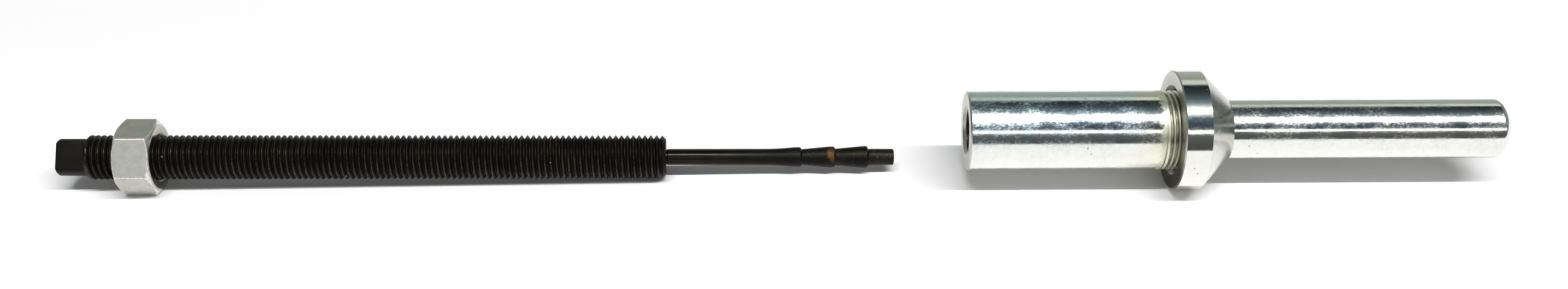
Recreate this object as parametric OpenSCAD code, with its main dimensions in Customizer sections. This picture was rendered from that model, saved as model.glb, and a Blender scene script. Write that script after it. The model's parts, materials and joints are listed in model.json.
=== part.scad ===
// Injector sleeve installer, laid out on the bench as its two loose groups.
// The driver (barrel and stop collar) lies along +X and balances on the collar's rim.
// The spindle set (threaded spindle, expander rod and nut) lies to its left. It stands on the
// nut's lower flat and on the last full thread crest, so its axis falls a little to the right.
// Millimetres, +Z up, origin under the middle of the whole layout on the bench.

/* [Driver barrel] */
// Outside diameter of the upper barrel
barrel_d = 33.8; // [32:0.1:36]
// Length of the plain upper barrel, from the bearing face to the first thread groove
barrel_plain_len = 81.9; // [70:0.1:95]
// Bore that the spindle passes through
bore_d = 20; // [19.6:0.1:21]
// Chamfer round the mouth of the bore
bore_mouth_chamfer = 1.35; // [0.5:0.05:2]
// Chamfer round the outside of the bearing face
bearing_face_chamfer = 0.7; // [0.3:0.1:1.5]
// Outside diameter of the lower barrel
nose_d = 25.4; // [24.5:0.1:27]
// Length of the lower barrel, from the shoulder to its end
nose_len = 130.8; // [110:0.1:150]
// Chamfer round the end of the lower barrel
nose_chamfer = 2.5; // [0.5:0.1:2.6]
// Thickness of the wall that closes the end of the lower barrel
nose_wall = 8; // [5:0.5:15]
// Hole in that wall, which guides the expander rod
guide_hole_d = 10.4; // [10:0.1:11]
// Edge break on the guide hole
guide_hole_break = 0.5; // [0.2:0.1:1]

/* [Collar thread] */
// Length of the thread on the barrel that carries the stop collar
collar_thread_len = 16.5; // [12:0.1:20]
// Pitch of that thread, 12 threads to the inch
collar_thread_pitch = 2.117; // [1.5:0.001:2.54]
// Depth of its grooves
collar_thread_depth = 1.2; // [0.8:0.05:1.4]
// Length of that thread left showing beside the collar
threads_showing = 6; // [2:0.1:9]
// Radial clearance between the collar and the barrel
collar_slack = 0.05; // [0.02:0.01:0.1]

/* [Stop collar] */
// Outside diameter of the collar's rim
collar_d = 50.8; // [44:0.1:60]
// Length of the cylindrical rim
collar_rim_len = 11.1; // [8:0.1:20]
// Diameter that the taper runs down to
collar_small_d = 26.1; // [25.8:0.1:30]
// Angle between the taper and the axis
collar_taper_angle = 45; // [35:1:60]
// Bevel round the collar's left face
collar_bevel = 0.5; // [0.2:0.1:1.5]
// Depth of the threaded bore, to the step down on to the lower barrel
collar_bore_depth = 15.5; // [13:0.1:17]
// Diameter of the countersink at the mouth of the threaded bore
collar_countersink_d = 38.4; // [35:0.1:42]

/* [Spindle] */
// Outside diameter of the spindle's thread, 3/4 inch
thread_d = 19.05; // [18:0.01:19.4]
// Pitch of the spindle's thread, 10 threads to the inch
thread_pitch = 2.54; // [2:0.01:3]
// Depth of its grooves
thread_depth = 1.5; // [1:0.05:1.65]
// Length of the threaded part
thread_len = 246.1; // [230:0.1:260]
// Chamfer at the drive end of the thread
thread_start_chamfer = 0.75; // [0.5:0.05:1.4]
// Length of the bevel at the rod end of the thread
thread_end_bevel_len = 1.75; // [1:0.05:2.5]
// Drop of that bevel
thread_end_bevel_drop = 1.45; // [0.8:0.05:1.6]
// Length of the turned drive end, which carries two wrench flats
drive_len = 12.6; // [8:0.1:20]
// Outside diameter of the drive end
drive_d = 15.8; // [12:0.1:15.9]
// Distance between its two flats
drive_flats = 10.5; // [8:0.1:12]
// Edge break round its tip
drive_break = 0.4; // [0.2:0.1:1]
// How far the camera side flat is rolled upwards, in degrees
drive_roll = 38; // [0:1:89]

/* [Expander rod] */
// Diameter of the rod and of its shank in the spindle
rod_d = 7.1; // [6:0.05:8]
// Depth of the shank in the spindle
shank_len = 22; // [12:0.5:40]
// Radial clearance round the shank
shank_slack = 0.02; // [0.01:0.005:0.05]
// Diameter of the narrow neck at the spindle's end face
root_neck_d = 6.6; // [6:0.05:7]
// Length of that neck
root_neck_len = 0.8; // [0.4:0.1:2]
// Distance from the spindle's end face to where the rod starts to swell
swell_start = 42.9; // [35:0.1:50]
// Distance from the end face to the rim of each of the three expanding cones
rim_starts = [55.9, 71.2, 86.1]; // [45:0.1:95]
// Width of each rim
rim_widths = [2.6, 2, 1.5]; // [0.8:0.1:4]
// Diameter of each rim
rim_diameters = [8.55, 9.1, 9.55]; // [7.2:0.05:10]
// Length of the step down behind each rim
step_len = 0.75; // [0.4:0.05:1.2]
// Diameter at the foot of the step behind each rim; the last is the pilot
foot_diameters = [6.8, 7.2, 7.1]; // [5:0.05:7.2]
// Distance from the end face to the tip of the pilot
rod_len = 99.4; // [92:0.1:110]
// Chamfer on the tip of the pilot
pilot_chamfer = 0.4; // [0.2:0.1:1]

/* [Nut] */
// Width across the flats of the nut, 1 1/8 inch
nut_flats = 28.6; // [27:0.1:32]
// Height of the nut
nut_height = 16; // [12:0.1:20]
// Diameter of the flat circle on each face of the nut, as a share of the width across flats
nut_face_share = 0.95; // [0.9:0.01:0.98]
// Angle of the chamfer on the nut's corners
nut_chamfer_angle = 30; // [15:1:30]
// Radial clearance between the nut and the thread's crests
nut_slack = 0.03; // [0.02:0.01:0.1]
// Countersink at each end of the nut's bore
nut_countersink = 0.9; // [0.3:0.1:1.5]
// Distance from the drive end of the thread to the nut's left face
nut_inset = 13.6; // [5:0.1:40]

/* [Layout] */
// Distance along X from the spindle's end face to the barrel's bearing face
group_gap = 129.2; // [105:0.1:200]
// How far the spindle's end face lies behind the driver's axis
spindle_back = 5.5; // [-6:0.1:8]
// How far the spindle's right end is turned away from the front
spindle_yaw = 1.54; // [0:0.01:3]

/* [Hidden] */
$fn = 96;

zinc_colour = [0.80, 0.82, 0.83];
nut_colour = [0.66, 0.68, 0.64];
black_oxide_colour = [0.13, 0.12, 0.11];
oxide_brown_colour = [0.22, 0.19, 0.16];

// Flat left on each thread crest, as a share of the pitch
crest_share = 1 / 8;
hexagon_sides = 6;
hexagon_half_angle = 180 / hexagon_sides;

// Driver: distances run along its axis from the bearing face
barrel_r = barrel_d / 2;
bore_r = bore_d / 2;
nose_r = nose_d / 2;
guide_hole_r = guide_hole_d / 2;
shoulder_at = barrel_plain_len + collar_thread_len;
driver_len = shoulder_at + nose_len;
drill_point_angle = 31;
bore_end_at = driver_len - nose_wall - (bore_r - guide_hole_r) * tan(drill_point_angle);
collar_thread_flat = collar_thread_pitch * crest_share;
collar_turns = floor((collar_thread_len - collar_thread_flat) / collar_thread_pitch);

// Collar: distances run along its axis from its left face
collar_r = collar_d / 2;
collar_small_r = collar_small_d / 2;
collar_taper_len = (collar_r - collar_small_r) / tan(collar_taper_angle);
collar_len = collar_rim_len + collar_taper_len;
collar_thread_bore_r = barrel_r + collar_slack;
collar_nose_bore_r = nose_r + collar_slack;
collar_countersink_r = collar_countersink_d / 2;
collar_at = barrel_plain_len + threads_showing;

// Spindle, rod and nut: distances run along their axis from the spindle's end face
thread_r = thread_d / 2;
thread_flat = thread_pitch * crest_share;
thread_run = thread_len - thread_start_chamfer - thread_end_bevel_len - thread_flat;
thread_turns = floor(thread_run / thread_pitch);
spindle_len = thread_len + drive_len;
drive_r = drive_d / 2;
drive_tip_r = drive_r - drive_break;
rod_r = rod_d / 2;
shank_hole_r = rod_r + shank_slack;
swell_steps = 8;
nut_face_r = nut_flats * nut_face_share / 2;
nut_corner_r = nut_flats / 2 / cos(hexagon_half_angle);
nut_edge_drop = (nut_flats / 2 - nut_face_r) * tan(nut_chamfer_angle);
nut_corner_drop = (nut_corner_r - nut_face_r) * tan(nut_chamfer_angle);
nut_bore_r = thread_r + nut_slack;
nut_set = thread_len - nut_inset - nut_height;

// Layout: the nut's lower flat and the last full crest both touch the bench
contact_span = nut_set + nut_edge_drop - thread_end_bevel_len;
spindle_tilt = atan((nut_flats / 2 - thread_r) / contact_span);
spindle_height = thread_r * cos(spindle_tilt) - thread_end_bevel_len * sin(spindle_tilt);
axis_run = cos(spindle_tilt) * cos(spindle_yaw);
end_disc_reach = drive_tip_r * sqrt(1 - axis_run * axis_run);
spindle_reach = group_gap + spindle_len * axis_run + end_disc_reach;
driver_x = (spindle_reach - driver_len) / 2;
spindle_x = driver_x - group_gap;

// Crests and V grooves of a thread, as outline points [radius, distance] from start onwards
function thread_outline(radius, depth, pitch, flat, start, turns) = [
    for (i = [0 : turns - 1])
        each [
            [radius, start + i * pitch],
            [radius, start + i * pitch + flat],
            [radius - depth, start + i * pitch + (pitch + flat) / 2],
        ],
    [radius, start + turns * pitch],
    [radius, start + turns * pitch + flat],
];

// Rod's swell: its radius grows with the square of the distance along it
function swell_outline(from_r, to_r, start, end) = [
    for (i = [0 : swell_steps])
        let (share = i / swell_steps)
            [from_r + (to_r - from_r) * share * share, start + (end - start) * share],
];

// A solid of revolution about X from an outline of [radius, distance] points
module turned(outline) {
    rotate([0, 90, 0])
        rotate_extrude()
            polygon(outline);
}

module on_driver_axis(at) {
    translate([driver_x + at, 0, collar_r])
        children();
}

module on_spindle_axis() {
    translate([spindle_x, spindle_back, spindle_height])
        rotate([0, spindle_tilt, spindle_yaw])
            children();
}

// One-piece driver body: upper barrel, collar thread and lower barrel, bored from the left
module barrel() {
    outline = concat(
        [
            [bore_r + bore_mouth_chamfer, 0],
            [barrel_r - bearing_face_chamfer, 0],
            [barrel_r, bearing_face_chamfer],
        ],
        thread_outline(barrel_r, collar_thread_depth, collar_thread_pitch, collar_thread_flat,
            barrel_plain_len, collar_turns),
        [
            [barrel_r, shoulder_at],
            [nose_r, shoulder_at],
            [nose_r, driver_len - nose_chamfer],
            [nose_r - nose_chamfer, driver_len],
            [guide_hole_r + guide_hole_break, driver_len],
            [guide_hole_r, driver_len - guide_hole_break],
            [guide_hole_r, driver_len - nose_wall],
            [bore_r, bore_end_at],
            [bore_r, bore_mouth_chamfer],
        ]
    );
    color(zinc_colour)
        on_driver_axis(0)
            turned(outline);
}

// Threaded stop collar: flat clamp face on the left, taper closing on the lower barrel
module stop_collar() {
    countersink_depth = collar_countersink_r - collar_thread_bore_r;
    outline = [
        [collar_countersink_r, 0],
        [collar_r - collar_bevel, 0],
        [collar_r, collar_bevel],
        [collar_r, collar_rim_len],
        [collar_small_r, collar_len],
        [collar_nose_bore_r, collar_len],
        [collar_nose_bore_r, collar_bore_depth],
        [collar_thread_bore_r, collar_bore_depth],
        [collar_thread_bore_r, countersink_depth],
    ];
    color(zinc_colour)
        on_driver_axis(collar_at)
            turned(outline);
}

// Drive end: a turned stub, milled to two opposite flats over its whole length
module drive_end() {
    stub_len = drive_len + thread_start_chamfer;
    stub = [
        [0, -spindle_len],
        [drive_tip_r, -spindle_len],
        [drive_r, -spindle_len + drive_break],
        [drive_r, -spindle_len + stub_len],
        [0, -spindle_len + stub_len],
    ];
    intersection() {
        turned(stub);
        translate([-spindle_len, 0, 0])
            rotate([-drive_roll, 0, 0])
                translate([0, -drive_flats / 2, -drive_d / 2])
                    cube([stub_len, drive_flats, drive_d]);
    }
}

module spindle() {
    start = -thread_len + thread_start_chamfer;
    bevel_r = thread_r - thread_end_bevel_drop;
    outline = concat(
        [
            [0, -thread_len],
            [thread_r - thread_start_chamfer, -thread_len],
        ],
        thread_outline(thread_r, thread_depth, thread_pitch, thread_flat, start, thread_turns),
        [
            [thread_r, -thread_end_bevel_len],
            [bevel_r, -(thread_end_bevel_len - thread_end_bevel_drop)],
            [bevel_r, 0],
            [shank_hole_r, 0],
            [shank_hole_r, -shank_len],
            [0, -shank_len],
        ]
    );
    color(black_oxide_colour)
        on_spindle_axis()
            union() {
                turned(outline);
                drive_end();
            }
}

// Expander rod: shank, plain stem, three cones that each grow towards the tip, and a pilot
module expander_rod() {
    first_rim_r = rim_diameters[0] / 2;
    last = len(rim_starts) - 1;
    cones = [
        for (i = [0 : last])
            each [
                [rim_diameters[i] / 2, rim_starts[i]],
                [rim_diameters[i] / 2, rim_starts[i] + rim_widths[i]],
                [foot_diameters[i] / 2, rim_starts[i] + rim_widths[i] + step_len],
            ],
    ];
    outline = concat(
        [
            [0, -shank_len],
            [rod_r, -shank_len],
            [rod_r, 0],
            [root_neck_d / 2, 0],
            [root_neck_d / 2, root_neck_len],
            [rod_r, root_neck_len],
        ],
        swell_outline(rod_r, first_rim_r, swell_start, rim_starts[0]),
        [for (i = [1 : len(cones) - 1]) cones[i]],
        [
            [foot_diameters[last] / 2, rod_len - pilot_chamfer],
            [foot_diameters[last] / 2 - pilot_chamfer, rod_len],
            [0, rod_len],
        ]
    );
    color(oxide_brown_colour)
        on_spindle_axis()
            turned(outline);
}

module nut() {
    left = -nut_set - nut_height;
    right = -nut_set;
    envelope = [
        [nut_bore_r + nut_countersink, left],
        [nut_face_r, left],
        [nut_corner_r, left + nut_corner_drop],
        [nut_corner_r, right - nut_corner_drop],
        [nut_face_r, right],
        [nut_bore_r + nut_countersink, right],
        [nut_bore_r, right - nut_countersink],
        [nut_bore_r, left + nut_countersink],
    ];
    color(nut_colour)
        on_spindle_axis()
            intersection() {
                turned(envelope);
                translate([left, 0, 0])
                    rotate([0, 90, 0])
                        rotate([0, 0, hexagon_half_angle])
                            cylinder(r = nut_corner_r, h = nut_height, $fn = hexagon_sides);
            }
}

barrel();
stop_collar();
spindle();
expander_rod();
nut();
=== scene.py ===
"""Dresses the packed injector sleeve installer: real threads, turned and plated steel, a plain studio."""

import json
import math

import bmesh
import bpy
from bpy.props import FloatProperty, FloatVectorProperty, PointerProperty
from mathutils import Euler, Matrix, Vector


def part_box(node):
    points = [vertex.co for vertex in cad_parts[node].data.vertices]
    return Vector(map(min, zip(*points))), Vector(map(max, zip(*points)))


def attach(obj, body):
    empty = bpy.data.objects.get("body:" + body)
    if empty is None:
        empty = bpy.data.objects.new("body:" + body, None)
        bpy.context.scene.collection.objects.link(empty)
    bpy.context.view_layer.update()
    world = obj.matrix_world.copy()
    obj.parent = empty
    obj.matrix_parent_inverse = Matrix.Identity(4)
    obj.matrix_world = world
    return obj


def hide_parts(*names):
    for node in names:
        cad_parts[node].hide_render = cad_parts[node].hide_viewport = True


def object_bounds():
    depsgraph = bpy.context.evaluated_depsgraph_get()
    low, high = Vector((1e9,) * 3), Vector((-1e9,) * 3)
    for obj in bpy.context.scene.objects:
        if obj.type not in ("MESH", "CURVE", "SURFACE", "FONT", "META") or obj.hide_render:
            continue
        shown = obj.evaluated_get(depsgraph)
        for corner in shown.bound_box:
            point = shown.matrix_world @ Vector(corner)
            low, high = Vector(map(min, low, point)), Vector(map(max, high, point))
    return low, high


bl_info = {
    "name": "Injector Sleeve Installer",
    "version": (1, 0, 0),
    "blender": (4, 5, 0),
    "location": "3D View > Sidebar > Installer",
    "description": "Builds the sleeve driver, its stop collar, the spindle, the expander rod and the nut",
    "category": "Object",
}

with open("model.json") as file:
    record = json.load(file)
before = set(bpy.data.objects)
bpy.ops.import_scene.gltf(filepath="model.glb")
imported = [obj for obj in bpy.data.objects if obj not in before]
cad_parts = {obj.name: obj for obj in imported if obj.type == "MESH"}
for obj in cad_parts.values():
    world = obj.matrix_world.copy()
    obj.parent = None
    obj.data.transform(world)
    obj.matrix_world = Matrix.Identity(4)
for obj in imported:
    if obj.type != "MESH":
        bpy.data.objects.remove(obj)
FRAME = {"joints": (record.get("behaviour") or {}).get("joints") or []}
CAD_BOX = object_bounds()
JOINTS = {joint["name"]: joint for joint in FRAME["joints"]}
MM = 0.001
TAU = 2 * math.pi
SIXTH = TAU / 6
WELD = 0.002 * MM
SHARP_ANGLE = math.radians(40)

# Where the two axes lie, read from the frame
DRIVER_LOW, DRIVER_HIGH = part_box("barrel")
COLLAR_LOW, COLLAR_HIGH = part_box("stop_collar")
DRIVER_ORIGIN = Vector((DRIVER_LOW.x, 0, (COLLAR_LOW.z + COLLAR_HIGH.z) / 2))
SPINDLE_AXIS = Vector(JOINTS["spindle_draw"]["axis"])
SPINDLE_TURN = Euler((0, -math.asin(SPINDLE_AXIS.z), math.atan2(SPINDLE_AXIS.y, SPINDLE_AXIS.x)))
NUT_CENTRE = Vector(JOINTS["nut_turn"]["pos_m"])


def length(name, description, value_mm):
    """A length property, given in millimetres."""
    return FloatProperty(name=name, description=description, default=value_mm * MM, unit="LENGTH",
                         precision=5)


def lengths(name, description, *values_mm):
    """A property of three lengths, given in millimetres."""
    return FloatVectorProperty(name=name, description=description, unit="LENGTH",
                               default=tuple(value * MM for value in values_mm))


def degrees(name, description, value):
    """An angle property, given in degrees."""
    return FloatProperty(name=name, description=description, default=math.radians(value), subtype="ANGLE")


def share(name, description, value):
    return FloatProperty(name=name, description=description, default=value, min=0, max=1, subtype="FACTOR")


def colour(name, description, value):
    return FloatVectorProperty(name=name, description=description, default=value, min=0, max=1,
                               subtype="COLOR")


class DriverSizes(bpy.types.PropertyGroup):
    """Sizes of the barrel and the stop collar."""

    barrel_d: length("Barrel", "Outside diameter of the upper barrel", 33.8)
    plain_len: length("Plain length", "Plain upper barrel, up to the first thread groove", 81.9)
    bore_d: length("Bore", "Bore that the spindle passes through", 20)
    mouth: length("Mouth chamfer", "Chamfer round the mouth of the bore", 1.35)
    face_chamfer: length("Face chamfer", "Chamfer round the outside of the bearing face", 0.7)
    nose_d: length("Lower barrel", "Outside diameter of the lower barrel", 25.4)
    nose_chamfer: length("End chamfer", "Chamfer round the end of the lower barrel", 2.5)
    end_wall: length("End wall", "Thickness of the wall that closes the lower barrel", 8)
    guide_d: length("Guide hole", "Hole in the end wall", 10.4)
    guide_break: length("Guide hole edge", "Edge break on the guide hole", 0.5)
    drill_drop: length("Drill point", "Length of the bore's conical end", 2.884)
    thread_len: length("Thread", "Length of the collar thread", 16.5)
    thread_pitch: length("Pitch", "Pitch of the collar thread", 2.117)
    thread_depth: length("Depth", "Depth of the collar thread's grooves", 1.2)
    thread_run_in: length("Run-in", "Length over which the first groove deepens", 1.9)
    collar_d: length("Collar", "Outside diameter of the collar's rim", 50.8)
    rim_len: length("Rim", "Length of the cylindrical rim", 11.1)
    taper_end_d: length("Taper end", "Diameter that the taper runs down to", 26.1)
    bevel: length("Bevel", "Bevel round the collar's left face", 0.5)
    collar_bore_depth: length("Threaded bore", "Depth of the collar's threaded bore", 15.5)
    countersink_d: length("Countersink", "Diameter of the collar's countersink", 38.4)
    slack: length("Slack", "Radial clearance between collar and barrel", 0.05)
    edge: length("Edge", "Radius that breaks each turned edge", 0.18)


class SpindleSizes(bpy.types.PropertyGroup):
    """Sizes of the spindle, the expander rod and the nut."""

    thread_d: length("Thread", "Outside diameter of the thread", 19.05)
    pitch: length("Pitch", "Pitch of the thread", 2.54)
    depth: length("Depth", "Depth of the grooves", 1.5)
    thread_len: length("Length", "Length of the threaded part", 246.1)
    start_chamfer: length("Start chamfer", "Chamfer at the drive end of the thread", 0.75)
    run_in: length("Run-in", "Length over which the first groove deepens", 2.4)
    end_bevel: length("End bevel", "Length of the bevel at the rod end", 1.75)
    end_drop: length("End drop", "Drop of that bevel", 1.45)
    drive_len: length("Drive length", "Length of the turned drive end", 12.6)
    drive_d: length("Drive end", "Outside diameter of the drive end", 15.8)
    drive_flats: length("Drive flats", "Distance between the drive end's two flats", 10.5)
    drive_break: length("Drive tip", "Edge break round the drive end's tip", 0.4)
    drive_roll: degrees("Drive roll", "Roll of the drive end's near flat", 38)
    rod_d: length("Rod", "Diameter of the rod", 7.1)
    shank_len: length("Shank", "Depth of the rod's shank in the spindle", 22)
    shank_slack: length("Shank slack", "Radial clearance round the shank", 0.02)
    neck_d: length("Neck", "Diameter of the neck at the spindle's end face", 6.6)
    neck_len: length("Neck length", "Length of that neck", 0.8)
    swell_start: length("Swell start", "Distance from the end face to the swell", 42.9)
    rim_starts: lengths("Rims", "Distance from the end face to each cone's rim", 55.9, 71.2, 86.1)
    rim_widths: lengths("Rim widths", "Width of each rim", 2.6, 2, 1.5)
    rim_diameters: lengths("Rim diameters", "Diameter of each rim", 8.55, 9.1, 9.55)
    foot_diameters: lengths("Feet", "Diameter behind each rim; the last is the pilot", 6.8, 7.2, 7.1)
    step_len: length("Step", "Length of the step down behind each rim", 0.75)
    rod_len: length("Rod length", "Distance from the end face to the pilot's tip", 99.4)
    pilot_chamfer: length("Pilot chamfer", "Chamfer on the pilot's tip", 0.4)
    nut_flats: length("Nut flats", "Width across the flats of the nut", 28.6)
    nut_height: length("Nut height", "Height of the nut", 16)
    nut_face_share: share("Nut face", "Flat circle on the nut's face, as a share of its width", 0.95)
    nut_chamfer: degrees("Nut chamfer", "Angle of the chamfer on the nut's corners", 30)
    nut_slack: length("Nut slack", "Radial clearance between the nut and the crests", 0.03)
    nut_sink: length("Nut countersink", "Countersink at each end of the nut's bore", 0.9)
    nut_inset: length("Nut inset", "Distance from the drive end of the thread to the nut", 13.6)


class Finishes(bpy.types.PropertyGroup):
    """Colours of the metals, of the marks on them and of the floor."""

    zinc: colour("Zinc", "Bright zinc plate", (0.82, 0.83, 0.79))
    zinc_shade: colour("Zinc shade", "Duller patches in the plate", (0.70, 0.71, 0.66))
    # Painted reflection: the blue of the dark bands that the top of the barrel mirrors
    film: colour("Blue film", "Bluish film over the plate of the upper barrel", (0.58, 0.76, 0.86))
    zinc_satin: colour("Satin zinc", "Plate on faced surfaces", (0.54, 0.55, 0.51))
    # Also used as a painted olive reflection on the top of the barrel by its bearing face
    stain: colour("Stain", "Yellow tint by the collar thread", (0.76, 0.72, 0.50))
    matte: colour("Matte zone", "Dull plate round the collar thread", (0.66, 0.66, 0.52))
    bore: colour("Bore", "Steel inside the bore", (0.13, 0.125, 0.10))
    # Also used for painted shade low on the collar's face, in both countersinks and in and round the nut's
    # bore
    groove: colour("Groove", "Dark groove floors in plated threads", (0.13, 0.125, 0.08))
    nut: colour("Nut", "Satin plate on the nut", (0.515, 0.51, 0.455))
    nut_edge: colour("Nut edge", "Bright metal on worn edges", (0.93, 0.93, 0.89))
    oxide: colour("Oxide", "Black oxide on the spindle", (0.010, 0.0085, 0.0065))
    oxide_brown: colour("Brown oxide", "Browner patches in the oxide", (0.020, 0.016, 0.011))
    oxide_worn: colour("Rubbed oxide", "Crests where the oxide is rubbed", (0.085, 0.064, 0.036))
    rod_oxide: colour("Rod oxide", "Black oxide on the rod", (0.0095, 0.0088, 0.0075))
    rust: colour("Rust", "Light rust on the middle cone", (0.20, 0.095, 0.030))
    floor: colour("Floor", "Plain floor", (0.94, 0.925, 0.93))


class Studio(bpy.types.PropertyGroup):
    """The camera and the lights."""

    eye: lengths("Eye", "Place of the camera", -3.68, -559.0, 363.7)
    pan: degrees("Pan", "Turn of the camera from straight ahead", 0.54)
    tilt: degrees("Tilt", "Angle at which the camera looks down", 31.66)
    lens: FloatProperty(name="Lens", description="Focal length in millimetres", default=35.1, unit="CAMERA")
    key_power: FloatProperty(name="Key", description="Power of the tube light above the front", default=345,
                             unit="POWER")
    key_height: degrees("Key height", "Angle of the tube light above the bench", 67)
    key_distance: length("Key distance", "Distance of the tube light", 4400)
    key_aside: length("Key aside", "Shift of the tube light along the bench", 950)
    key_length: length("Key length", "Length of the tube light", 4900)
    key_width: length("Key width", "Width of the tube light", 180)
    side_glow: share("Side glow", "Brightness of the room to the left and right", 0.20)
    fill_share: share("Fill", "Share of the room's light that reaches matt surfaces", 0.62)
    floor_front: length("Floor front", "Distance from the tool to the floor's front edge", 200)
    floor_reach: length("Floor reach", "How far the floor runs the other ways", 800)
    white_from: length("White from", "Distance from the tool at which the floor starts to look white", 130)
    white_full: length("White full", "Distance from the tool at which the floor looks plain white", 286)


SETTING_GROUPS = {
    "driver_sizes": DriverSizes,
    "spindle_sizes": SpindleSizes,
    "finishes": Finishes,
    "studio": Studio,
}


def joined(operation, turned=False):
    """A method of Signal that adds a Math node. Turned, the signal is the node's last value."""
    def method(self, *others):
        values = (*others, self) if turned else (self, *others)
        return self.graph.math(operation, *values)
    return method


class Signal:
    """A number in a node tree. Python arithmetic on it adds Math nodes."""

    __add__ = __radd__ = joined("ADD")
    __sub__ = joined("SUBTRACT")
    __rsub__ = joined("SUBTRACT", turned=True)
    __mul__ = __rmul__ = joined("MULTIPLY")
    __truediv__ = joined("DIVIDE")
    __pow__ = joined("POWER")
    __mod__ = joined("FLOORED_MODULO")
    __abs__ = joined("ABSOLUTE")
    floor = joined("FLOOR")
    least = joined("MINIMUM")
    most = joined("MAXIMUM")

    def __init__(self, graph, socket):
        self.graph = graph
        self.socket = socket

    def held(self):
        """The number kept between 0 and 1."""
        return self.most(0).least(1)

    def over(self, low, high):
        """0 below low, 1 above high and a straight rise between. Low may be above high, for a fall."""
        return ((self - low) / (high - low)).held()


class Graph:
    """Adds nodes to one tree."""

    def __init__(self, tree):
        self.tree = tree
        tree.nodes.clear()

    def add(self, kind, sockets=None, **settings):
        """A new node: its settings are set first, then the values or links of its sockets.

        A node given as a value stands for its first output, and a colour has three numbers.
        """
        node = self.tree.nodes.new(kind if "Node" in kind else "ShaderNode" + kind)
        for name, value in settings.items():
            if name == "stops":
                set_stops(node.color_ramp, value)
            else:
                setattr(node, name, value)
        for name, value in (sockets or {}).items():
            socket = node.inputs[name]
            if isinstance(value, bpy.types.Node):
                value = value.outputs[0]
            if isinstance(value, Signal):
                value = value.socket
            if isinstance(value, bpy.types.NodeSocket):
                self.tree.links.new(value, socket)
            else:
                socket.default_value = (*value, 1) if socket.type == "RGBA" else value
        return node

    def number(self, kind, sockets, **settings):
        """The number that a new node gives at its first output."""
        return Signal(self, self.add(kind, sockets, **settings).outputs[0])

    def math(self, operation, *values):
        return self.number("Math", dict(enumerate(values)), operation=operation)

    def split(self, vector):
        return [Signal(self, output) for output in self.add("SeparateXYZ", {0: vector}).outputs]


def set_stops(ramp, stops):
    while len(ramp.elements) > 1:
        ramp.elements.remove(ramp.elements[-1])
    for index, (position, tone) in enumerate(stops):
        element = ramp.elements[0] if index == 0 else ramp.elements.new(position)
        element.position = position
        element.color = (*tone, 1)


class Finish(Graph):
    """A material's tree, with patterns that lie along a turned piece's own axis."""

    def __init__(self, name, origin, turn=(0, 0, 0)):
        self.material = bpy.data.materials.new(name)
        self.material.use_nodes = True
        super().__init__(self.material.node_tree)
        place = {"Vector": self.add("TexCoord").outputs["Object"], "Location": origin, "Rotation": turn}
        self.local = self.add("Mapping", place, vector_type="TEXTURE")
        self.along, self.across, self.up = self.split(self.local)
        self.radius = (self.across * self.across + self.up * self.up) ** 0.5

    def cells(self, size_mm, shift, stretch=(1, 1, 1)):
        """The piece's own coordinates, counted in cells of size_mm."""
        scale = tuple(1 / (size_mm * MM * s) for s in stretch)
        place = {"Vector": self.local, "Scale": scale, "Location": (shift, shift, shift)}
        return self.add("Mapping", place, vector_type="POINT")

    def noise(self, size_mm, detail=3, roughness=0.55, stretch=(1, 1, 1), shift=0):
        """Noise from 0 to 1 whose patches are about size_mm across."""
        sockets = {"Vector": self.cells(size_mm, shift, stretch), "Scale": 1}
        return self.number("TexNoise", {**sockets, "Detail": detail, "Roughness": roughness})

    def specks(self, size_mm, spread, shift=0):
        """Small round marks: 1 at a mark's middle, 0 beyond spread of a cell of size_mm."""
        distance = self.number("TexVoronoi", {"Vector": self.cells(size_mm, shift), "Scale": 1})
        return distance.over(spread, spread / 2)

    def painted(self, base, *coats):
        """A base colour under coats. Each coat is the amount from 0 to 1 that covers, and its colour."""
        for amount, tone in coats:
            base = self.add("Mix", {"Factor": amount, 6: base, 7: tone}, data_type="RGBA").outputs[2]
        return base

    def metal(self, base, roughness, relief, strength, depth_mm, **more):
        """Closes the tree with one metallic surface, with the relief as its bump."""
        bump = self.add("Bump", {"Height": relief, "Strength": strength, "Distance": depth_mm * MM})
        sockets = {"Base Color": base, "Roughness": roughness, "Normal": bump, "Metallic": 1, **more}
        self.add("OutputMaterial", {"Surface": self.add("BsdfPrincipled", sockets)})
        return self.material


def scaled(tone, factor):
    return tuple(channel * factor for channel in tone)


def new_object(name, data):
    made = bpy.data.objects.new(name, data)
    bpy.context.scene.collection.objects.link(made)
    return made


def turned_object(name, build, makers, sizes, origin, turn=None):
    """A new object from a bmesh along +X: welded, facing outwards and with its place in its mesh.

    Each maker is the function that makes the material of its name, called when that isn't there yet.
    """
    bmesh.ops.remove_doubles(build, verts=build.verts, dist=WELD)
    bmesh.ops.recalc_face_normals(build, faces=build.faces)
    mesh = bpy.data.meshes.new(name)
    build.to_mesh(mesh)
    build.free()
    mesh.transform(Matrix.LocRotScale(origin, turn, None))
    for make in makers:
        ready = bpy.data.materials.get(make.__name__)
        mesh.materials.append(ready or make(bpy.context.scene.finishes, sizes))
    mesh.shade_smooth()
    mesh.set_sharp_from_angle(angle=SHARP_ANGLE)
    return new_object(name, mesh)


# How corners are broken: the least bend that counts, and shares of the stretches beside it
LEAST_BEND = math.radians(12)
ARC_STEPS = 3
MOST_CUT_SHARE = 0.45
MOST_HOLD_SHARE = 0.48
HOLD_PER_CUT = 2.5


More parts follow.
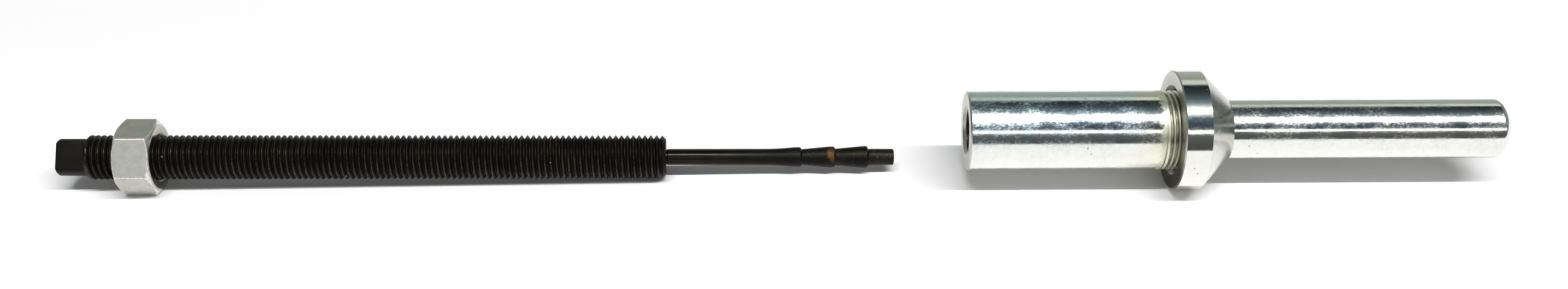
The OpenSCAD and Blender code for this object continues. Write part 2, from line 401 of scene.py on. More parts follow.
def rounded(outline, edge):
    """The outline with each corner between straight stretches broken by an arc of about that radius.

    A point is (radius, distance, material). A fourth value is its own arc radius, and 0 keeps the corner.
    One more point on each side of an arc keeps the straight stretch's shading flat.
    """
    result = [outline[0][:3]]
    for before, point, after in zip(outline, outline[1:], outline[2:]):
        a, b, c = (Vector(p[:2]) for p in (before, point, after))
        into, out = a - b, c - b
        turn = math.pi - into.angle(out)
        arc = point[3] if len(point) > 3 else edge
        if arc == 0 or turn < LEAST_BEND:
            result.append(point[:3])
            continue
        cut = min(arc * math.tan(turn / 2), min(into.length, out.length) * MOST_CUT_SHARE)
        start, end = b + into.normalized() * cut, b + out.normalized() * cut
        hold = b + into.normalized() * min(cut * HOLD_PER_CUT, into.length * MOST_HOLD_SHARE)
        result.append((*hold, before[2]))
        for step in range(ARC_STEPS + 1):
            t = step / ARC_STEPS
            spot = start * (1 - t) ** 2 + b * 2 * t * (1 - t) + end * t * t
            result.append((*spot, before[2] if t < 0.5 else point[2]))
        hold = b + out.normalized() * min(cut * HOLD_PER_CUT, out.length * MOST_HOLD_SHARE)
        result.append((*hold, point[2]))
    result.append(outline[-1][:3])
    return result


def lathe(build, outline, angles, closed=False):
    """Turns an outline of (radius, distance, material) about +X into a bmesh, with a column at each angle.

    A radius or a distance may be a function of the angle. A fourth value gives a point its own angles.
    """
    columns = len(angles)
    rings = []
    for radius, distance, _, *own in outline:
        if not callable(radius) and radius < WELD:
            rings.append([build.verts.new((distance, 0, 0))] * columns)
            continue
        ring = []
        for angle in own[0] if own else angles:
            r = radius(angle) if callable(radius) else radius
            x = distance(angle) if callable(distance) else distance
            ring.append(build.verts.new((x, r * math.cos(angle), r * math.sin(angle))))
        rings.append(ring)
    pairs = list(zip(rings, rings[1:], outline))
    if closed:
        pairs.append((rings[-1], rings[0], outline[-1]))
    for left, right, point in pairs:
        for column in range(columns):
            following = (column + 1) % columns
            corners = [left[column], right[column], right[following], left[following]]
            corners = [v for i, v in enumerate(corners) if v not in corners[:i]]
            if len(corners) > 2:
                build.faces.new(corners).material_index = point[2]


THREAD_INPUTS = (
    "radius", "depth", "pitch", "length", "columns", "crest_share", "crest_round", "start_chamfer",
    "end_chamfer", "end_drop", "run_in", "phase", "material",
)
OTHER_KINDS = {"columns": "Int", "material": "Material"}

# Rows of half a turn: the middle of a crest or root, its edge, and the steps of the flank after it
FLANK_STEPS = 2
HALF_ROWS = FLANK_STEPS + 2
TURN_ROWS = 2 * HALF_ROWS


def thread_tree():
    """A right-hand V thread along +X from 0 to its length, open at both ends, as a node group."""
    tree = bpy.data.node_groups.new("right_hand_thread", "GeometryNodeTree")
    for name in THREAD_INPUTS:
        kind = "NodeSocket" + OTHER_KINDS.get(name, "Float")
        tree.interface.new_socket(name, in_out="INPUT", socket_type=kind)
    tree.interface.new_socket("Mesh", in_out="OUTPUT", socket_type="NodeSocketGeometry")
    g = Graph(tree)
    given = g.add("NodeGroupInput").outputs
    radius, depth, pitch, reach, columns, crest, crest_round, start, end, drop, run_in, phase = (
        Signal(g, given[name]) for name in THREAD_INPUTS[:-1]
    )
    turns = g.math("CEIL", reach / pitch) + 3
    rows = turns * TURN_ROWS + 1
    size = {"Size X": rows - 1, "Size Y": columns, "Vertices X": rows, "Vertices Y": columns + 1}
    grid = g.add("GeometryNodeMeshGrid", size)
    spot_x, spot_y, _ = g.split(g.add("GeometryNodeInputPosition"))
    row = (spot_x + (rows - 1) / 2 + 0.5).floor()
    column = (spot_y + columns / 2 + 0.5).floor()
    turn = (row / TURN_ROWS).floor()
    in_turn = row % TURN_ROWS
    second = (in_turn / HALF_ROWS).floor()
    step = in_turn % HALF_ROWS
    flank = ((step - 1) / FLANK_STEPS).held()
    half_crest = crest / 2
    share_of_pitch = second * 0.5 + half_crest * step.least(1) + (0.5 - crest) * flank
    fall = abs(second - flank)
    angle_share = column / columns
    free = (turn - 2 + share_of_pitch + angle_share + phase) * pitch
    along = free.most(0).least(reach)
    edge_row = (1 - abs(step - 1).least(1)) * (1 - second)
    far_edge_row = (1 - abs(step - (HALF_ROWS - 1)).least(1)) * second
    deepened = (along / run_in).held() ** 2
    shaped = radius - (depth * fall + crest_round * (edge_row + far_edge_row)) * deepened
    start_cap = radius - (start - along).most(0)
    end_cap = radius - drop * (1 - (reach - along) / end).held()
    new_radius = shaped.least(start_cap).least(end_cap)
    angle = angle_share * TAU
    place = {0: along, 1: new_radius * g.math("COSINE", angle), 2: new_radius * g.math("SINE", angle)}
    moved = g.add("GeometryNodeSetPosition", {"Geometry": grid, "Position": g.add("CombineXYZ", place)})
    welded = g.add("GeometryNodeMergeByDistance", {"Geometry": moved, "Distance": WELD})
    real = g.add("GeometryNodeRealizeInstances", {"Geometry": welded})
    dressed = g.add("GeometryNodeSetMaterial", {"Geometry": real, "Material": given["material"]})
    g.add("NodeGroupOutput", {"Mesh": dressed})
    return tree


def add_thread(build, shift, **inputs):
    """Adds to a bmesh the thread that the node group makes with these inputs, moved along +X."""
    tree = bpy.data.node_groups.get("right_hand_thread") or thread_tree()
    carrier = new_object("thread_carrier", bpy.data.meshes.new("thread_carrier"))
    modifier = carrier.modifiers.new("Thread", "NODES")
    modifier.node_group = tree
    identifiers = {item.name: item.identifier for item in tree.interface.items_tree}
    for name, value in inputs.items():
        modifier[identifiers[name]] = value
    evaluated = carrier.evaluated_get(bpy.context.evaluated_depsgraph_get())
    mesh = bpy.data.meshes.new_from_object(evaluated)
    carrier.modifiers.clear()
    bpy.data.objects.remove(carrier)
    mesh.transform(Matrix.Translation((shift, 0, 0)))
    build.from_mesh(mesh)


def even_angles(columns):
    return [TAU * column / columns for column in range(columns)]


def plated_zinc(finishes, sizes):
    """Bright plate: speckled haze in patches, painted blue and olive reflections atop the barrel, dull
    yellow round the thread.
    """
    fin = Finish("plated_zinc", DRIVER_ORIGIN)
    patches = fin.noise(9, detail=4, roughness=0.6, stretch=(1.6, 1, 1)).over(0.36, 0.63)
    grain = fin.noise(0.5, detail=2, roughness=0.6, stretch=(1.8, 1, 1)).over(0.40, 0.64)
    flecks = fin.noise(1.1, roughness=0.6, stretch=(1.5, 1, 1), shift=4).over(0.46, 0.68)
    cloud = fin.noise(3.2, detail=4, roughness=0.65, shift=5)
    barrel_r = sizes.barrel_d / 2
    on_barrel = fin.radius.over(barrel_r + 0.8 * MM, barrel_r + 0.4 * MM)
    on_rim = 1 - on_barrel
    # Painted reflection: the top of the barrel by its bearing face is painted paler and olive, and made
    # hazier
    left_top_haze_and_reflection = fin.along.over(44 * MM, 12 * MM) * fin.up.over(8 * MM, 11 * MM) * on_barrel
    haze = (grain * 0.65 + flecks * 0.5).held() * (0.35 + patches * 0.65)
    haze = (haze * (1 - on_rim * 0.55) + left_top_haze_and_reflection * (0.30 + flecks * 0.35)).held()
    thread_middle = sizes.plain_len + sizes.thread_len / 2
    from_thread = abs(fin.along - thread_middle)
    ragged = (fin.noise(3.4, detail=4, roughness=0.65, shift=9) - 0.5) * (9 * MM)
    reach = sizes.thread_len / 2
    matte = (from_thread + ragged).over(reach + 2.6 * MM, reach + 1.0 * MM) * on_barrel
    tint = (from_thread + ragged * 1.4).over(reach + 17 * MM, reach + 2 * MM) * (0.2 + on_barrel * 0.8)
    groove = fin.radius.over(barrel_r - 0.25 * MM, barrel_r - 1.0 * MM)
    groove = groove * from_thread.over(reach + 1 * MM, reach)
    worn_groove = fin.noise(5, detail=2, shift=13).over(0.36, 0.60)
    pits = fin.specks(4.3, 0.11) * fin.noise(7, shift=3).over(0.52, 0.57)
    # Random patches of dirt
    grime_and_shade = fin.noise(6, detail=5, roughness=0.7, shift=11).over(0.56, 0.78)
    # Painted reflection: a bluish tint on the top of the barrel only, fading out before the thread
    painted_blue_reflection = (haze + 0.3).held() * fin.up.over(0, 6 * MM) * on_barrel
    painted_blue_reflection = painted_blue_reflection * fin.along.over(sizes.plain_len - 4 * MM, sizes.plain_len - 14 * MM)
    base = fin.painted(
        finishes.zinc,
        ((haze * 0.5 + cloud.over(0.42, 0.75) * 0.5).held(), finishes.zinc_shade),
        (painted_blue_reflection * 0.85, finishes.film),
        ((tint * 0.40 + grime_and_shade * 0.25 + left_top_haze_and_reflection * 0.25).held(), finishes.stain),
        (matte * (0.45 + cloud * 0.5), finishes.matte),
        (groove * (0.25 + worn_groove * 0.5), finishes.groove),
        (pits * 0.8, finishes.groove),
    )
    smooth = 0.065 + haze * 0.21 + patches * 0.085 * (1 - on_rim * 0.8)
    roughness = (smooth + matte * (0.40 - smooth) + pits * 0.3).held()
    relief = fin.noise(0.9, shift=2) + fin.noise(14, detail=1) * 3
    return fin.metal(base, roughness, relief, strength=0.12, depth_mm=0.03)


def faced_zinc(finishes, sizes):
    """Plate on faced surfaces: rings from the tool, a bright taper, painted shade low on the collar's face
    and in its countersink.
    """
    fin = Finish("faced_zinc", DRIVER_ORIGIN)
    feed = fin.radius * (1 / (0.22 * MM)) + fin.along * (1 / (0.5 * MM))
    rings = fin.number("TexNoise", {"W": feed, "Scale": 1, "Detail": 2}, noise_dimensions="1D")
    cloud = fin.noise(2.2, detail=4, roughness=0.7)
    dirt = fin.noise(5, detail=4, roughness=0.65, shift=4).over(0.50, 0.72)
    middle = (COLLAR_LOW.x + COLLAR_HIGH.x) / 2 - DRIVER_LOW.x
    bright = fin.along.over(middle - 2 * MM, middle)
    on_collar = fin.along.over(sizes.plain_len, sizes.plain_len + 1 * MM)
    on_face = on_collar * (1 - bright)
    round_thread = (fin.radius + (cloud - 0.5) * (9 * MM)).over(24 * MM, 17 * MM) * on_collar
    # Painted shade: the collar's face darkens towards its bottom
    low_face_shade = fin.up.over(4 * MM, -9 * MM) * on_face
    sink_r = sizes.countersink_d / 2
    # The countersink is darkened: painted shade, and some dirt
    inside = fin.radius.over(sink_r + 0.3 * MM, sink_r - 0.3 * MM) * on_face
    base = fin.painted(
        finishes.zinc_satin,
        (cloud, scaled(finishes.zinc_satin, 0.88)),
        (dirt * 0.5, finishes.stain),
        (round_thread * 0.65, scaled(finishes.matte, 0.4)),
        ((low_face_shade * (0.75 + cloud * 0.5)).held(), scaled(finishes.groove, 0.6)),
        (bright * 0.5, finishes.zinc),
        (inside * 0.85, finishes.groove),
    )
    roughness = (0.24 + cloud * 0.12 + dirt * 0.08 - bright * (0.12 - dirt * 0.05)).held()
    return fin.metal(base, roughness, rings * 0.7 + cloud, strength=0.25 - bright * 0.17, depth_mm=0.02)


def bore_steel(finishes, sizes):
    """Unplated steel in the bore, rougher further in, and darkened further in by painted shade."""
    fin = Finish("bore_steel", DRIVER_ORIGIN)
    cloud = fin.noise(2.5, detail=4, roughness=0.6, stretch=(3, 1, 1))
    # Painted shade: darker with depth into the bore
    depth = fin.along.over(0, sizes.bore_d * 3)
    base = fin.painted(finishes.bore, (depth * 0.7, scaled(finishes.bore, 0.4)))
    roughness = 0.22 + cloud * 0.16 + depth * 0.1
    return fin.metal(base, roughness, cloud, strength=0.2, depth_mm=0.03)


OXIDE_SURFACE = {"Metallic": 0.8, "Specular IOR Level": 0.2}


def spindle_oxide(finishes, sizes):
    """Black oxide on the spindle, rubbed brown on the crests, with a few bright nicks."""
    fin = Finish("spindle_oxide", *spindle_place(sizes))
    crest_r = sizes.thread_d / 2
    crest = fin.radius.over(crest_r - 0.3 * MM, crest_r - 0.06 * MM)
    patches = fin.noise(9, roughness=0.6)
    grain = fin.noise(0.7, roughness=0.65, shift=7)
    rubbed = crest * (patches * 0.7 + grain * 0.9).over(0.70, 0.92)
    nicks = fin.specks(7.5, spread=0.055, shift=3) * fin.noise(20, shift=6).over(0.5, 0.55)
    base = fin.painted(
        finishes.oxide,
        (patches.over(0.4, 0.7) * 0.6, finishes.oxide_brown),
        (rubbed * 0.75, finishes.oxide_worn),
        (nicks, finishes.nut_edge),
    )
    roughness = (0.44 + grain * 0.12 - crest * 0.16 - rubbed * 0.08).held()
    return fin.metal(base, roughness, grain + patches, strength=0.25, depth_mm=0.03, **OXIDE_SURFACE)


def rod_oxide(finishes, sizes):
    """Black oxide on the rod, with rust on the middle cone and fine scratches on all three."""
    fin = Finish("rod_oxide", *spindle_place(sizes))
    first_rim, middle_rim, last_rim = sizes.rim_starts
    cloud = fin.noise(4, detail=4, roughness=0.6, stretch=(2.2, 1, 1))
    fine = fin.noise(0.5, roughness=0.7, stretch=(1, 3, 3), shift=8)
    near_rim = abs(fin.along - (middle_rim + 0.6 * MM)).over(4.2 * MM, 0.8 * MM)
    upper = fin.up.over(-2.5 * MM, 2.5 * MM)
    spots = fin.noise(1.8, detail=4, roughness=0.7, shift=14)
    rust = (near_rim * (0.30 + upper * 0.35) + spots * 1.1 + fine * 0.3).over(1.16, 1.50)
    on_cones = fin.along.over(first_rim - 2 * MM, first_rim + 4 * MM)
    scratches = fin.noise(0.6, roughness=0.7, stretch=(0.8, 2.2, 2.2), shift=2).over(0.61, 0.76)
    scratches = scratches * on_cones * fin.noise(3, shift=12).over(0.50, 0.60) * 0.4
    handled = fin.along.over(46 * MM, 16 * MM)
    pilot = fin.along.over(last_rim + 3 * MM, last_rim + 4 * MM)
    base = fin.painted(
        finishes.rod_oxide,
        (cloud.over(0.4, 0.7) * 0.7, finishes.oxide_brown),
        (handled * 0.05 + pilot * 0.10, finishes.oxide_worn),
        (rust * 0.8, finishes.rust),
        (scratches, finishes.nut),
    )
    roughness = (0.42 + cloud * 0.12 + rust * 0.2 - handled * 0.26).held()
    relief = cloud + fine * 0.6 + rust
    return fin.metal(base, roughness, relief, strength=0.25, depth_mm=0.03, **OXIDE_SURFACE)


def nut_plate(finishes, sizes):
    """Satin plate on the nut, rubbed bright along its corners and the edges of its chamfers, with painted
    shade in and round its bore.
    """
    fin = Finish("nut_plate", NUT_CENTRE, SPINDLE_TURN)
    half, crest_r, end = sizes.nut_flats / 2, sizes.thread_d / 2, sizes.nut_height / 2
    cloud = fin.noise(3.5, detail=4, roughness=0.6)
    grain = fin.noise(0.55, roughness=0.7, shift=6)
    from_flat = abs(fin.math("ARCTAN2", fin.up, fin.across) % SIXTH - SIXTH / 2)
    corner_reach = half / math.cos(SIXTH / 2) * SIXTH / 2
    corner_edge = (fin.radius * from_flat).over(corner_reach - 0.75 * MM, corner_reach - 0.2 * MM)
    chamfer_end = end - (fin.radius - half * sizes.nut_face_share) * math.tan(sizes.nut_chamfer)
    chamfer_edge = abs(abs(fin.along) - chamfer_end).over(0.5 * MM, 0.15 * MM)
    chamfer_edge = chamfer_edge * fin.radius.over(half, half + 0.02 * MM)
    broken = fin.noise(1.3, roughness=0.7, shift=1).over(0.34, 0.52)
    edge = corner_edge.most(chamfer_edge) * broken
    # Painted shade in the countersinks and down the bore
    bore_shade = fin.radius.over(crest_r + 1.5 * MM, crest_r + 0.6 * MM)
    ends = abs(fin.along).over(end - 0.6 * MM, end - 0.2 * MM)
    # Painted shade round the bore on both end faces, with a ragged edge
    grime_and_shade = ends * (fin.radius + (cloud - 0.5) * (6 * MM)).over(half, crest_r + 0.5 * MM)
    mottle = (cloud * 0.6 + grain * 0.4).over(0.36, 0.66)
    base = fin.painted(
        scaled(finishes.nut, 0.90),
        (mottle, scaled(finishes.nut, 1.17)),
        (grime_and_shade * 0.6, finishes.groove),
        (edge * 0.85, finishes.nut_edge),
        (bore_shade * 0.9, finishes.groove),
    )
    roughness = (0.38 + cloud * 0.10 - edge * 0.16 - ends * 0.20).held()
    return fin.metal(base, roughness, grain + cloud * 1.5, strength=0.4, depth_mm=0.05)


def spindle_place(sizes):
    """The middle of the spindle's end face, found from the nut's place on the thread, and its turn."""
    nut_middle = sizes.thread_len - sizes.nut_inset - sizes.nut_height / 2
    return NUT_CENTRE + SPINDLE_AXIS * nut_middle, SPINDLE_TURN


BARREL_COLUMNS = 112
SPINDLE_COLUMNS = 72
SWELL_STEPS = 10
BELOW_ROOTS = 0.05 * MM
END_EDGE = 0.12 * MM
ROD_EDGE = 0.15 * MM


class INSTALLER_OT_barrel(bpy.types.Operator):
    """Build the one-piece driver barrel with its collar thread"""

    bl_idname = "installer.barrel"
    bl_label = "Driver Barrel"

    def execute(self, context):
        sizes = context.scene.driver_sizes
        plate, face, inside = range(3)
        barrel_r, nose_r = sizes.barrel_d / 2, sizes.nose_d / 2
        bore_r, guide_r = sizes.bore_d / 2, sizes.guide_d / 2
        shoulder = sizes.plain_len + sizes.thread_len
        end = DRIVER_HIGH.x - DRIVER_LOW.x
        run_out = sizes.thread_depth + BELOW_ROOTS
        bore_end = end - sizes.end_wall - sizes.drill_drop
        build = bmesh.new()
        left = [
            (bore_r, bore_end, inside),
            (bore_r, sizes.mouth, face),
            (bore_r + sizes.mouth, 0, face),
            (barrel_r - sizes.face_chamfer, 0, face),
            (barrel_r, sizes.face_chamfer, plate),
            (barrel_r, sizes.plain_len, plate),
        ]
        right = [
            (barrel_r - run_out, shoulder, plate),
            (nose_r, shoulder, plate),
            (nose_r, end - sizes.nose_chamfer, plate, sizes.nose_chamfer),
            (nose_r - sizes.nose_chamfer, end, plate, sizes.nose_chamfer),
            (guide_r + sizes.guide_break, end, inside),
            (guide_r, end - sizes.guide_break, inside),
            (guide_r, end - sizes.end_wall, inside),
            (bore_r, bore_end, inside),
        ]
        for outline in (left, right):
            lathe(build, rounded(outline, sizes.edge), even_angles(BARREL_COLUMNS))
        add_thread(
            build, sizes.plain_len, radius=barrel_r, depth=sizes.thread_depth, pitch=sizes.thread_pitch,
            length=sizes.thread_len, columns=BARREL_COLUMNS, crest_share=0.16, crest_round=0.03 * MM,
            end_chamfer=run_out, end_drop=run_out, run_in=sizes.thread_run_in, phase=0.3,
        )
        makers = (plated_zinc, faced_zinc, bore_steel)
        piece = turned_object("barrel_body", build, makers, sizes, DRIVER_ORIGIN)
        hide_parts("barrel")
        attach(piece, "driver")
        return {"FINISHED"}


class INSTALLER_OT_collar(bpy.types.Operator):
    """Build the threaded stop collar"""

    bl_idname = "installer.collar"
    bl_label = "Stop Collar"

    def execute(self, context):
        sizes = context.scene.driver_sizes
        plate, face = range(2)
        rim_r, small_r = sizes.collar_d / 2, sizes.taper_end_d / 2
        sink_r = sizes.countersink_d / 2
        thread_r = sizes.barrel_d / 2 + sizes.slack
        nose_r = sizes.nose_d / 2 + sizes.slack
        end = COLLAR_HIGH.x - COLLAR_LOW.x
        outline = [
            (thread_r, sizes.collar_bore_depth, face, 0),
            (thread_r, sink_r - thread_r, face),
            (sink_r, 0, face),
            (rim_r - sizes.bevel, 0, face),
            (rim_r, sizes.bevel, plate),
            (rim_r, sizes.rim_len, face),
            (small_r, end, face),
            (nose_r, end, face),
            (nose_r, sizes.collar_bore_depth, face),
            (thread_r, sizes.collar_bore_depth, face, 0),
        ]
        build = bmesh.new()
        lathe(build, rounded(outline, sizes.edge), even_angles(BARREL_COLUMNS))
        origin = Vector((COLLAR_LOW.x, 0, DRIVER_ORIGIN.z))
        piece = turned_object("stop_collar_body", build, (plated_zinc, faced_zinc), sizes, origin)
        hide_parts("stop_collar")
        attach(piece, "collar")
        return {"FINISHED"}


def drive_radius(angle, sizes):
    """Radius of the drive end at an angle: a round bar with two flats, their edges slightly rounded."""
    from_flat = (angle + sizes.drive_roll + math.pi / 2) % math.pi - math.pi / 2
    flat = sizes.drive_flats / 2 / max(math.cos(from_flat), 0.01)
    round_r = sizes.drive_d / 2
    blend = 0.3 * MM
    near = max(blend - abs(flat - round_r), 0) / blend
    return min(flat, round_r) - near * near * blend / 4


def drive_angles(columns, sizes):
    """Column angles on and beside the edges of the flats, each near its even share of the turn."""
    reach = math.acos(sizes.drive_flats / sizes.drive_d)
    beside = math.radians(1.8)
    middles = (math.pi - sizes.drive_roll, TAU - sizes.drive_roll)
    edges = [middle + side * reach for middle in middles for side in (-1, 1)]
    keys = sorted((edge + side * beside) % TAU for edge in edges for side in (-1, 0, 1))
    gaps = [following - key for key, following in zip(keys, keys[1:] + [keys[0] + TAU])]
    least_wide = 1.5 * beside
    wide = sum(gap for gap in gaps if gap > least_wide)
    angles = []
    for key, gap in zip(keys, gaps):
        parts = 1 + round((columns - len(keys)) * gap / wide) if gap > least_wide else 1
        angles += [key + gap * part / parts for part in range(parts)]
    assert len(angles) == columns

    def off(shift, column):
        """How far a column is from its even share, with the list started at shift."""
        return (angles[(column + shift) % columns] - TAU * column / columns + math.pi) % TAU - math.pi

    best = min(range(columns), key=lambda shift: sum(abs(off(shift, c)) for c in range(columns)))
    return [angle + off(best, column) for column, angle in enumerate(even_angles(columns))]


class INSTALLER_OT_spindle(bpy.types.Operator):
    """Build the threaded spindle with its drive end"""

    bl_idname = "installer.spindle"
    bl_label = "Threaded Spindle"

    def execute(self, context):
        sizes = context.scene.spindle_sizes
        crest_r = sizes.thread_d / 2
        start = -sizes.thread_len
        tip = start - sizes.drive_len
        end_r = crest_r - sizes.end_drop
        thread_stop = -(sizes.end_bevel - sizes.end_drop)
        hole_r = sizes.rod_d / 2 + sizes.shank_slack
        even = even_angles(SPINDLE_COLUMNS)

        def stub(drop, inset):
            """The drive end's section, with its round part turned down."""
            return lambda angle: min(drive_radius(angle, sizes), sizes.drive_d / 2 - drop) - inset

        # Distance from the tip, how far the round part is turned down, and the inset
        tip_break = sizes.drive_break
        rings = [
            (sizes.drive_len, 0, 0),
            (tip_break + 1.2 * MM, 0, 0),
            (tip_break + 0.08 * MM, 0, 0),
            (tip_break - 0.04 * MM, 0.06 * MM, 0),
            (tip_break * 0.4, tip_break * 0.6, 0),
            (0.03 * MM, tip_break * 0.9, 0.02 * MM),
            (0, tip_break, 0.12 * MM),
            (0, tip_break, 0.8 * MM),
        ]
        bar = [(crest_r - sizes.start_chamfer, start, 0, even)]
        bar += [(stub(drop, inset), tip + from_tip, 0) for from_tip, drop, inset in rings]
        bar.append((0, tip, 0))
        build = bmesh.new()
        lathe(build, bar, drive_angles(SPINDLE_COLUMNS, sizes))
        end = [
            (end_r, thread_stop, 0),
            (end_r, 0, 0),
            (hole_r, 0, 0),
            (hole_r, -sizes.shank_len, 0),
            (0, -sizes.shank_len, 0),
        ]
        lathe(build, rounded(end, END_EDGE), even)
        add_thread(
            build, start, radius=crest_r, depth=min(sizes.depth, sizes.end_drop), pitch=sizes.pitch,
            length=thread_stop - start, columns=SPINDLE_COLUMNS, crest_share=0.15, crest_round=0.09 * MM,
            start_chamfer=sizes.start_chamfer, end_chamfer=sizes.end_drop, end_drop=sizes.end_drop,
            run_in=sizes.run_in, phase=0.154,
        )
        piece = turned_object("spindle_body", build, [spindle_oxide], sizes, *spindle_place(sizes))
        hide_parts("spindle")
        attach(piece, "spindle_set")
        return {"FINISHED"}


class INSTALLER_OT_rod(bpy.types.Operator):
    """Build the expander rod with its three cones"""

    bl_idname = "installer.rod"
    bl_label = "Expander Rod"

    def execute(self, context):
        sizes = context.scene.spindle_sizes
        rod_r, neck_r = sizes.rod_d / 2, sizes.neck_d / 2
        rims = list(zip(sizes.rim_starts, sizes.rim_widths, sizes.rim_diameters, sizes.foot_diameters))
        outline = [
            (0, -sizes.shank_len, 0),
            (rod_r, -sizes.shank_len, 0),
            (rod_r, 0, 0),
            (neck_r, 0, 0),
            (neck_r, sizes.neck_len, 0),
            (rod_r, sizes.neck_len, 0),
        ]
        swell_len = sizes.rim_starts[0] - sizes.swell_start
        for part in (step / SWELL_STEPS for step in range(SWELL_STEPS)):
            swell = (sizes.rim_diameters[0] / 2 - rod_r) * part * part
            outline.append((rod_r + swell, sizes.swell_start + swell_len * part, 0))
        for at, width, rim_d, foot_d in rims:
            outline.append((rim_d / 2, at, 0))
            outline.append((rim_d / 2, at + width, 0))
            outline.append((foot_d / 2, at + width + sizes.step_len, 0))
        pilot_r = sizes.foot_diameters[-1] / 2
        outline += [
            (pilot_r, sizes.rod_len - sizes.pilot_chamfer, 0),
            (pilot_r - sizes.pilot_chamfer, sizes.rod_len, 0),
            (0, sizes.rod_len, 0),
        ]
        build = bmesh.new()
        lathe(build, rounded(outline, ROD_EDGE), even_angles(SPINDLE_COLUMNS))
        piece = turned_object("expander_rod_body", build, [rod_oxide], sizes, *spindle_place(sizes))
        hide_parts("expander_rod")
        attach(piece, "spindle_set")
        return {"FINISHED"}


def hexagon_radius(angle, half_flats):
    """Radius of the nut at an angle, with its corners slightly rounded."""
    from_flat = abs((angle - TAU / 4 + SIXTH / 2) % SIXTH - SIXTH / 2)
    from_corner = SIXTH / 2 - from_flat
    rounding = 0.5 * MM
    middle = (half_flats - rounding) / math.cos(SIXTH / 2)
    reach = math.atan2(rounding * math.sin(SIXTH / 2), middle + rounding * math.cos(SIXTH / 2))
    if from_corner > reach:
        return half_flats / math.cos(from_flat)
    aside = middle * math.sin(from_corner)
    return middle * math.cos(from_corner) + math.sqrt(rounding ** 2 - aside ** 2)


# The columns of one side of the nut, in degrees from the middle of its flat
HEXAGON_STEPS = (-30, -29.56, -29.12, -26.5, -22, -16, -8, 0, 8, 16, 22, 26.5, 29.12, 29.56)


class INSTALLER_OT_nut(bpy.types.Operator):
    """Build the hexagon nut"""

    bl_idname = "installer.nut"
    bl_label = "Nut"

    def execute(self, context):
        sizes = context.scene.spindle_sizes
        half_flats, half_height = sizes.nut_flats / 2, sizes.nut_height / 2
        face_r = half_flats * sizes.nut_face_share
        bore_r = sizes.thread_d / 2 + sizes.nut_slack
        sink_r = bore_r + sizes.nut_sink
        slope = math.tan(sizes.nut_chamfer)
        columns = [math.radians(90 + step) for step in HEXAGON_STEPS]
        angles = sorted((SIXTH * side + column) % TAU for side in range(6) for column in columns)

        # Radius and drop from the end, from the bore out to where the chamfer starts
        face = [
            (bore_r, sizes.nut_sink + 0.3 * MM),
            (bore_r, sizes.nut_sink),
            (sink_r - 0.1 * MM, 0.1 * MM),
            (sink_r + 0.1 * MM, 0),
            (sink_r + 0.4 * MM, 0),
            (face_r - 0.5 * MM, 0),
            (face_r - 0.12 * MM, 0),
            (face_r + 0.12 * MM, 0.12 * MM * slope),
        ]
        # The chamfer's outer edge: how far inside the hexagon, how far in along the chamfer, and the drop
        edge = [
            (0.28 * MM, 0.28 * MM, 0),
            (0.07 * MM, 0, 0.04 * MM),
            (0, 0, 0.22 * MM),
            (0, 0, 0.6 * MM),
        ]

        def hexagon(inset):
            return lambda angle: hexagon_radius(angle, half_flats) - inset

        def chamfer(side, back, drop):
            return lambda angle: side * (half_height - (hexagon(back)(angle) - face_r) * slope - drop)

        def half(side):
            """One half of the outline, from the bore out to the flats."""
            points = [(radius, side * (half_height - drop), 0) for radius, drop in face]
            return points + [(hexagon(inset), chamfer(side, back, drop), 0) for inset, back, drop in edge]

        build = bmesh.new()
        lathe(build, half(-1) + half(1)[::-1], angles, closed=True)
        piece = turned_object("nut_body", build, [nut_plate], sizes, NUT_CENTRE, SPINDLE_TURN)
        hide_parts("nut")
        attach(piece, "turning_nut")
        return {"FINISHED"}


# What the metals mirror round the long axis: 0 is level on the camera's side, 90 is overhead
SURROUNDINGS = (
    (-180, 0.50, 0.53, 0.50),
    (-150, 0.10, 0.10, 0.10),
    (-90, 0.05, 0.05, 0.05),
    (-8, 0.062, 0.066, 0.060),
    (10, 0.095, 0.105, 0.100),
    (18, 0.115, 0.122, 0.112),
    (24.2, 0.13, 0.14, 0.14),
    (24.8, 5.0, 5.0, 4.9),
    (28.4, 5.0, 5.0, 4.9),
    (29.2, 0.045, 0.062, 0.078),
    (40, 0.040, 0.060, 0.086),
    (54, 0.078, 0.120, 0.172),
    (62, 0.85, 0.88, 0.90),
    (74, 0.85, 0.88, 0.90),
    (82, 0.23, 0.30, 0.35),
    (92, 0.090, 0.130, 0.155),
    (106, 0.037, 0.052, 0.062),
    (120, 0.018, 0.026, 0.029),
    (126, 0.018, 0.026, 0.029),
    (129, 0.68, 0.72, 0.64),
    (137, 0.72, 0.76, 0.69),
    (140, 0.68, 0.72, 0.65),
    (145, 0.31, 0.34, 0.30),
    (158, 0.37, 0.41, 0.37),
    (180, 0.43, 0.47, 0.43),
)


def light_world(studio):
    """Bands round the long axis, weaker for matt surfaces than for the metals, and white to the camera."""
    world = bpy.data.worlds.new("studio_world")
    world.use_nodes = True
    g = Graph(world.node_tree)
    aside, away, up = g.split(g.add("TexCoord").outputs["Generated"])
    angle = g.math("ARCTAN2", up, 0 - away) / TAU + 0.5
    bands = g.add("ValToRGB", {"Fac": angle}, stops=[(0.5 + at / 360, tone) for at, *tone in SURROUNDINGS])
    path = g.add("LightPath").outputs
    strength = studio.fill_share + Signal(g, path["Is Glossy Ray"]) * (1 - studio.fill_share)
    around = g.add("Background", {"Color": bands, "Strength": strength})
    dim = g.add("Background", {"Color": (0.07, 0.09, 0.085)})
    glow = g.add("Background", {"Color": (0.95, 1, 1), "Strength": studio.side_glow})
    white = g.add("Background", {"Color": (1, 1, 1)})
    low_side = abs(aside).over(0.60, 0.70) * up.over(0.24, 0.16)
    sideways = abs(aside).over(0.50, 0.58) * up.over(0.30, 0.42)
    level = g.add("MixShader", {0: low_side, 1: around, 2: dim})
    mirrored = g.add("MixShader", {0: sideways, 1: level, 2: glow})
    mixed = g.add("MixShader", {0: path["Is Camera Ray"], 1: mirrored, 2: white})
    g.add("OutputWorld", {"Surface": mixed})
    bpy.context.scene.world = world


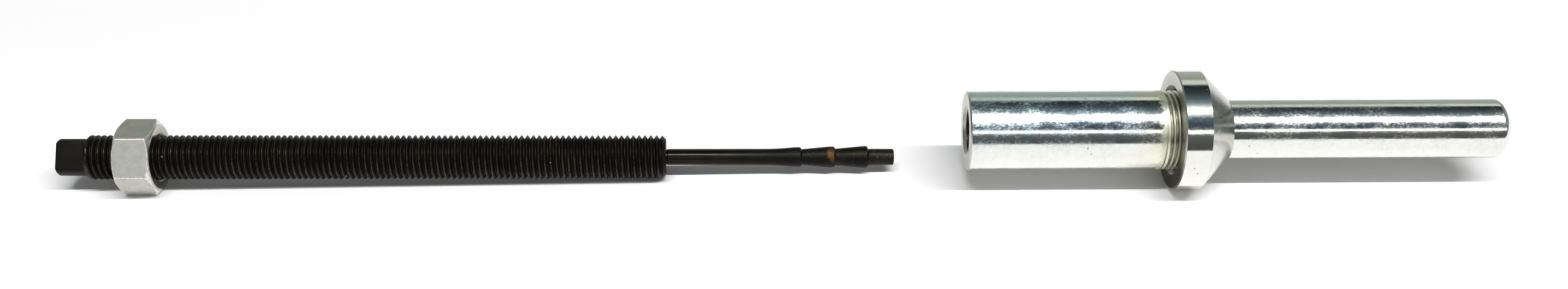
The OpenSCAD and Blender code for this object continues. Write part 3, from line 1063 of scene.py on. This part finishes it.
class INSTALLER_OT_stage(bpy.types.Operator):
    """Lay the plain floor, hang the tube light, and place the camera"""

    bl_idname = "installer.stage"
    bl_label = "Studio"

    def execute(self, context):
        studio = context.scene.studio
        self.lay_floor(studio, context.scene.finishes.floor)
        light_world(studio)
        self.hang_key(studio)
        self.place_camera(studio)
        return {"FINISHED"}

    def lay_floor(self, studio, tone):
        reach, front = studio.floor_reach, studio.floor_front
        mesh = bpy.data.meshes.new("floor")
        corners = [(-reach, -front, 0), (reach, -front, 0), (reach, reach, 0), (-reach, reach, 0)]
        mesh.from_pydata(corners, [], [(0, 1, 2, 3)])
        paper = bpy.data.materials.new("floor_paper")
        paper.use_nodes = True
        g = Graph(paper.node_tree)
        lit = g.add("BsdfDiffuse", {"Color": tone})
        white = g.add("Emission", {"Color": (1, 1, 1), "Strength": 1})
        along, across, _ = g.split(g.add("TexCoord").outputs["Object"])
        from_tool = (abs(along) - CAD_BOX[1][0]).most(abs(across))
        far = from_tool.over(studio.white_from, studio.white_full)
        seen = Signal(g, g.add("LightPath").outputs["Is Camera Ray"])
        mixed = g.add("MixShader", {0: far * seen, 1: lit, 2: white})
        g.add("OutputMaterial", {"Surface": mixed})
        mesh.materials.append(paper)
        floor = new_object("floor", mesh)

    def hang_key(self, studio):
        lamp = bpy.data.lights.new("tube_light", "AREA")
        lamp.shape = "RECTANGLE"
        lamp.size, lamp.size_y = studio.key_length, studio.key_width
        lamp.energy = studio.key_power
        key = new_object("tube_light", lamp)
        away, up = math.cos(studio.key_height), math.sin(studio.key_height)
        key.location = Vector((0, -away, up)) * studio.key_distance + Vector((studio.key_aside, 0, 0))
        key.rotation_euler = (studio.key_height - math.pi / 2, 0, 0)
        key.visible_camera = False

    def place_camera(self, studio):
        data = bpy.data.cameras.new("camera")
        data.lens = studio.lens
        camera = new_object("camera", data)
        camera.location = studio.eye
        camera.rotation_euler = (math.pi / 2 - studio.tilt, 0, -studio.pan)
        bpy.context.scene.camera = camera
        bpy.context.scene.view_settings.view_transform = "Standard"


STEPS = (
    INSTALLER_OT_stage,
    INSTALLER_OT_barrel,
    INSTALLER_OT_collar,
    INSTALLER_OT_spindle,
    INSTALLER_OT_rod,
    INSTALLER_OT_nut,
)


class INSTALLER_PT_panel(bpy.types.Panel):
    """The steps and the settings that they read"""

    bl_idname = "INSTALLER_PT_panel"
    bl_label = "Sleeve Installer"
    bl_space_type = "VIEW_3D"
    bl_region_type = "UI"
    bl_category = "Installer"

    def draw(self, context):
        for step in STEPS:
            self.layout.operator(step.bl_idname)
        for name, group in SETTING_GROUPS.items():
            box = self.layout.box()
            box.label(text=group.__doc__)
            for key in group.__annotations__:
                box.prop(getattr(context.scene, name), key)


def register():
    for group in SETTING_GROUPS.values():
        bpy.utils.register_class(group)
    for name, group in SETTING_GROUPS.items():
        setattr(bpy.types.Scene, name, PointerProperty(type=group))
    for kind in (*STEPS, INSTALLER_PT_panel):
        bpy.utils.register_class(kind)


def unregister():
    for kind in (*STEPS, INSTALLER_PT_panel):
        bpy.utils.unregister_class(kind)
    for name, group in SETTING_GROUPS.items():
        delattr(bpy.types.Scene, name)
        bpy.utils.unregister_class(group)


def main():
    register()
    for step in STEPS:
        owner, name = step.bl_idname.split(".")
        getattr(getattr(bpy.ops, owner), name)()


if __name__ == "__main__":
    main()
